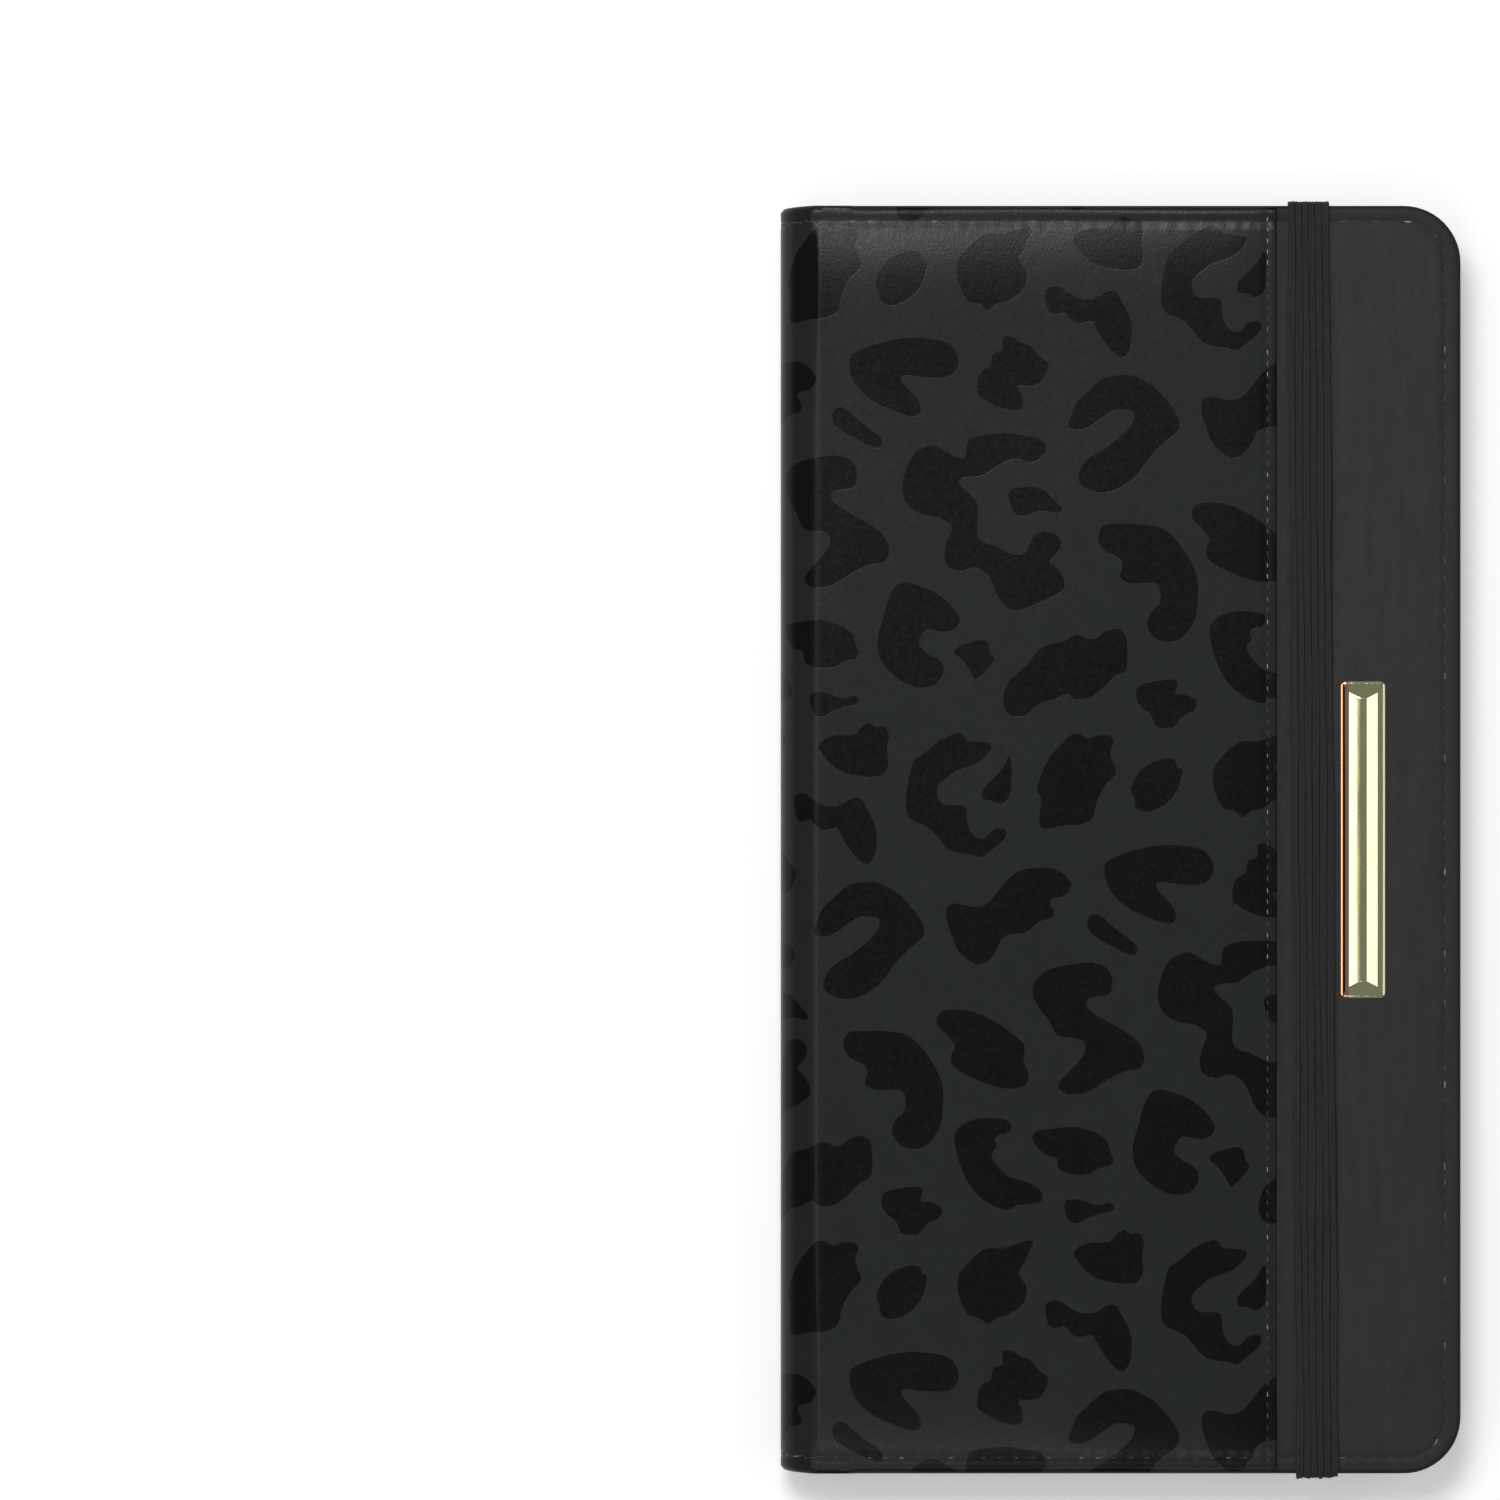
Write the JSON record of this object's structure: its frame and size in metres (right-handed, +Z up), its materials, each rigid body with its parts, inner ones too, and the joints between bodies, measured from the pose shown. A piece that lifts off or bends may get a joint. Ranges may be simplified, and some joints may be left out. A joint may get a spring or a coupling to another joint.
{
  "type": "checkbook cover",
  "caption": "Folding checkbook cover in printed and plain leather, with pockets, a pen slot, a clear divider, an elastic strap and a metal trim bar.",
  "frame": {"origin": "under the middle of the closed cover, on the plane that it lies on", "axes": "+X from the spine to the fore-edge, +Y along the spine towards the pen slot's end, +Z up from the back cover to the front cover"},
  "size_m": [0.098, 0.1844, 0.0133],
  "materials": {
    "printed_leather": "matte, with a satin spotted print",
    "plain_leather": "matte, fine grain",
    "pocket_leather": "matte, fine grain",
    "lining": "matte, smooth",
    "stiffener": "raw",
    "elastic": "woven, ribbed",
    "gold_metal": "polished, pale gold",
    "clear_vinyl": "clear, slightly frosted"
  },
  "bodies": {
    "back_cover": {"back_print_panel": "printed_leather", "back_plain_band": "plain_leather", "back_board": "stiffener", "back_lining": "lining", "back_pocket": "pocket_leather", "strap_ends": "elastic"},
    "spine_1": {"spine_cover_1": "printed_leather", "spine_lining_1": "lining"},
    "spine_2": {"spine_cover_2": "printed_leather", "spine_lining_2": "lining"},
    "spine_3": {"spine_cover_3": "printed_leather", "spine_lining_3": "lining"},
    "front_cover": {"front_print_panel": "printed_leather", "front_plain_band": "plain_leather", "front_board": "stiffener", "front_lining": "lining", "cash_pocket": "pocket_leather", "card_pocket": "pocket_leather", "divider_strip": "pocket_leather", "trim_bar": "gold_metal"},
    "divider": {"clear_divider": "clear_vinyl"},
    "strap": {"elastic_strap": "elastic"}
  },
  "joints": [
    {"name": "cover_open", "type": "hinge", "parent": "back_cover", "child": "spine_1", "pos_m": [-0.043, 0, 0], "axis": [0, -1, 0], "range_deg": [0, 30]},
    {"name": "spine_fold_2", "type": "hinge", "parent": "spine_1", "child": "spine_2", "pos_m": [-0.0482, 0, 0.003], "axis": [0, -1, 0], "range_deg": [0, 60]},
    {"name": "spine_fold_3", "type": "hinge", "parent": "spine_2", "child": "spine_3", "pos_m": [-0.0482, 0, 0.009], "axis": [0, -1, 0], "range_deg": [0, 60]},
    {"name": "spine_fold_4", "type": "hinge", "parent": "spine_3", "child": "front_cover", "pos_m": [-0.043, 0, 0.012], "axis": [0, -1, 0], "range_deg": [0, 30]},
    {"name": "divider_turn", "type": "hinge", "parent": "front_cover", "child": "divider", "pos_m": [0.04326, 0, 0.00802], "axis": [0, 1, 0], "range_deg": [-178, 0], "stiffness_Nm_per_rad": 0.05, "deforming": ["clear_divider"]},
    {"name": "strap_release", "type": "hinge", "parent": "back_cover", "child": "strap", "pos_m": [0.0276, 0, 0.006], "axis": [0, 1, 0], "range_deg": [0, 180], "deforming": ["elastic_strap"]}
  ],
  "couplings": [
    {"joint": "spine_fold_2", "follows": "cover_open", "ratio": 2},
    {"joint": "spine_fold_3", "follows": "cover_open", "ratio": 2},
    {"joint": "spine_fold_4", "follows": "cover_open", "ratio": 1}
  ]
}
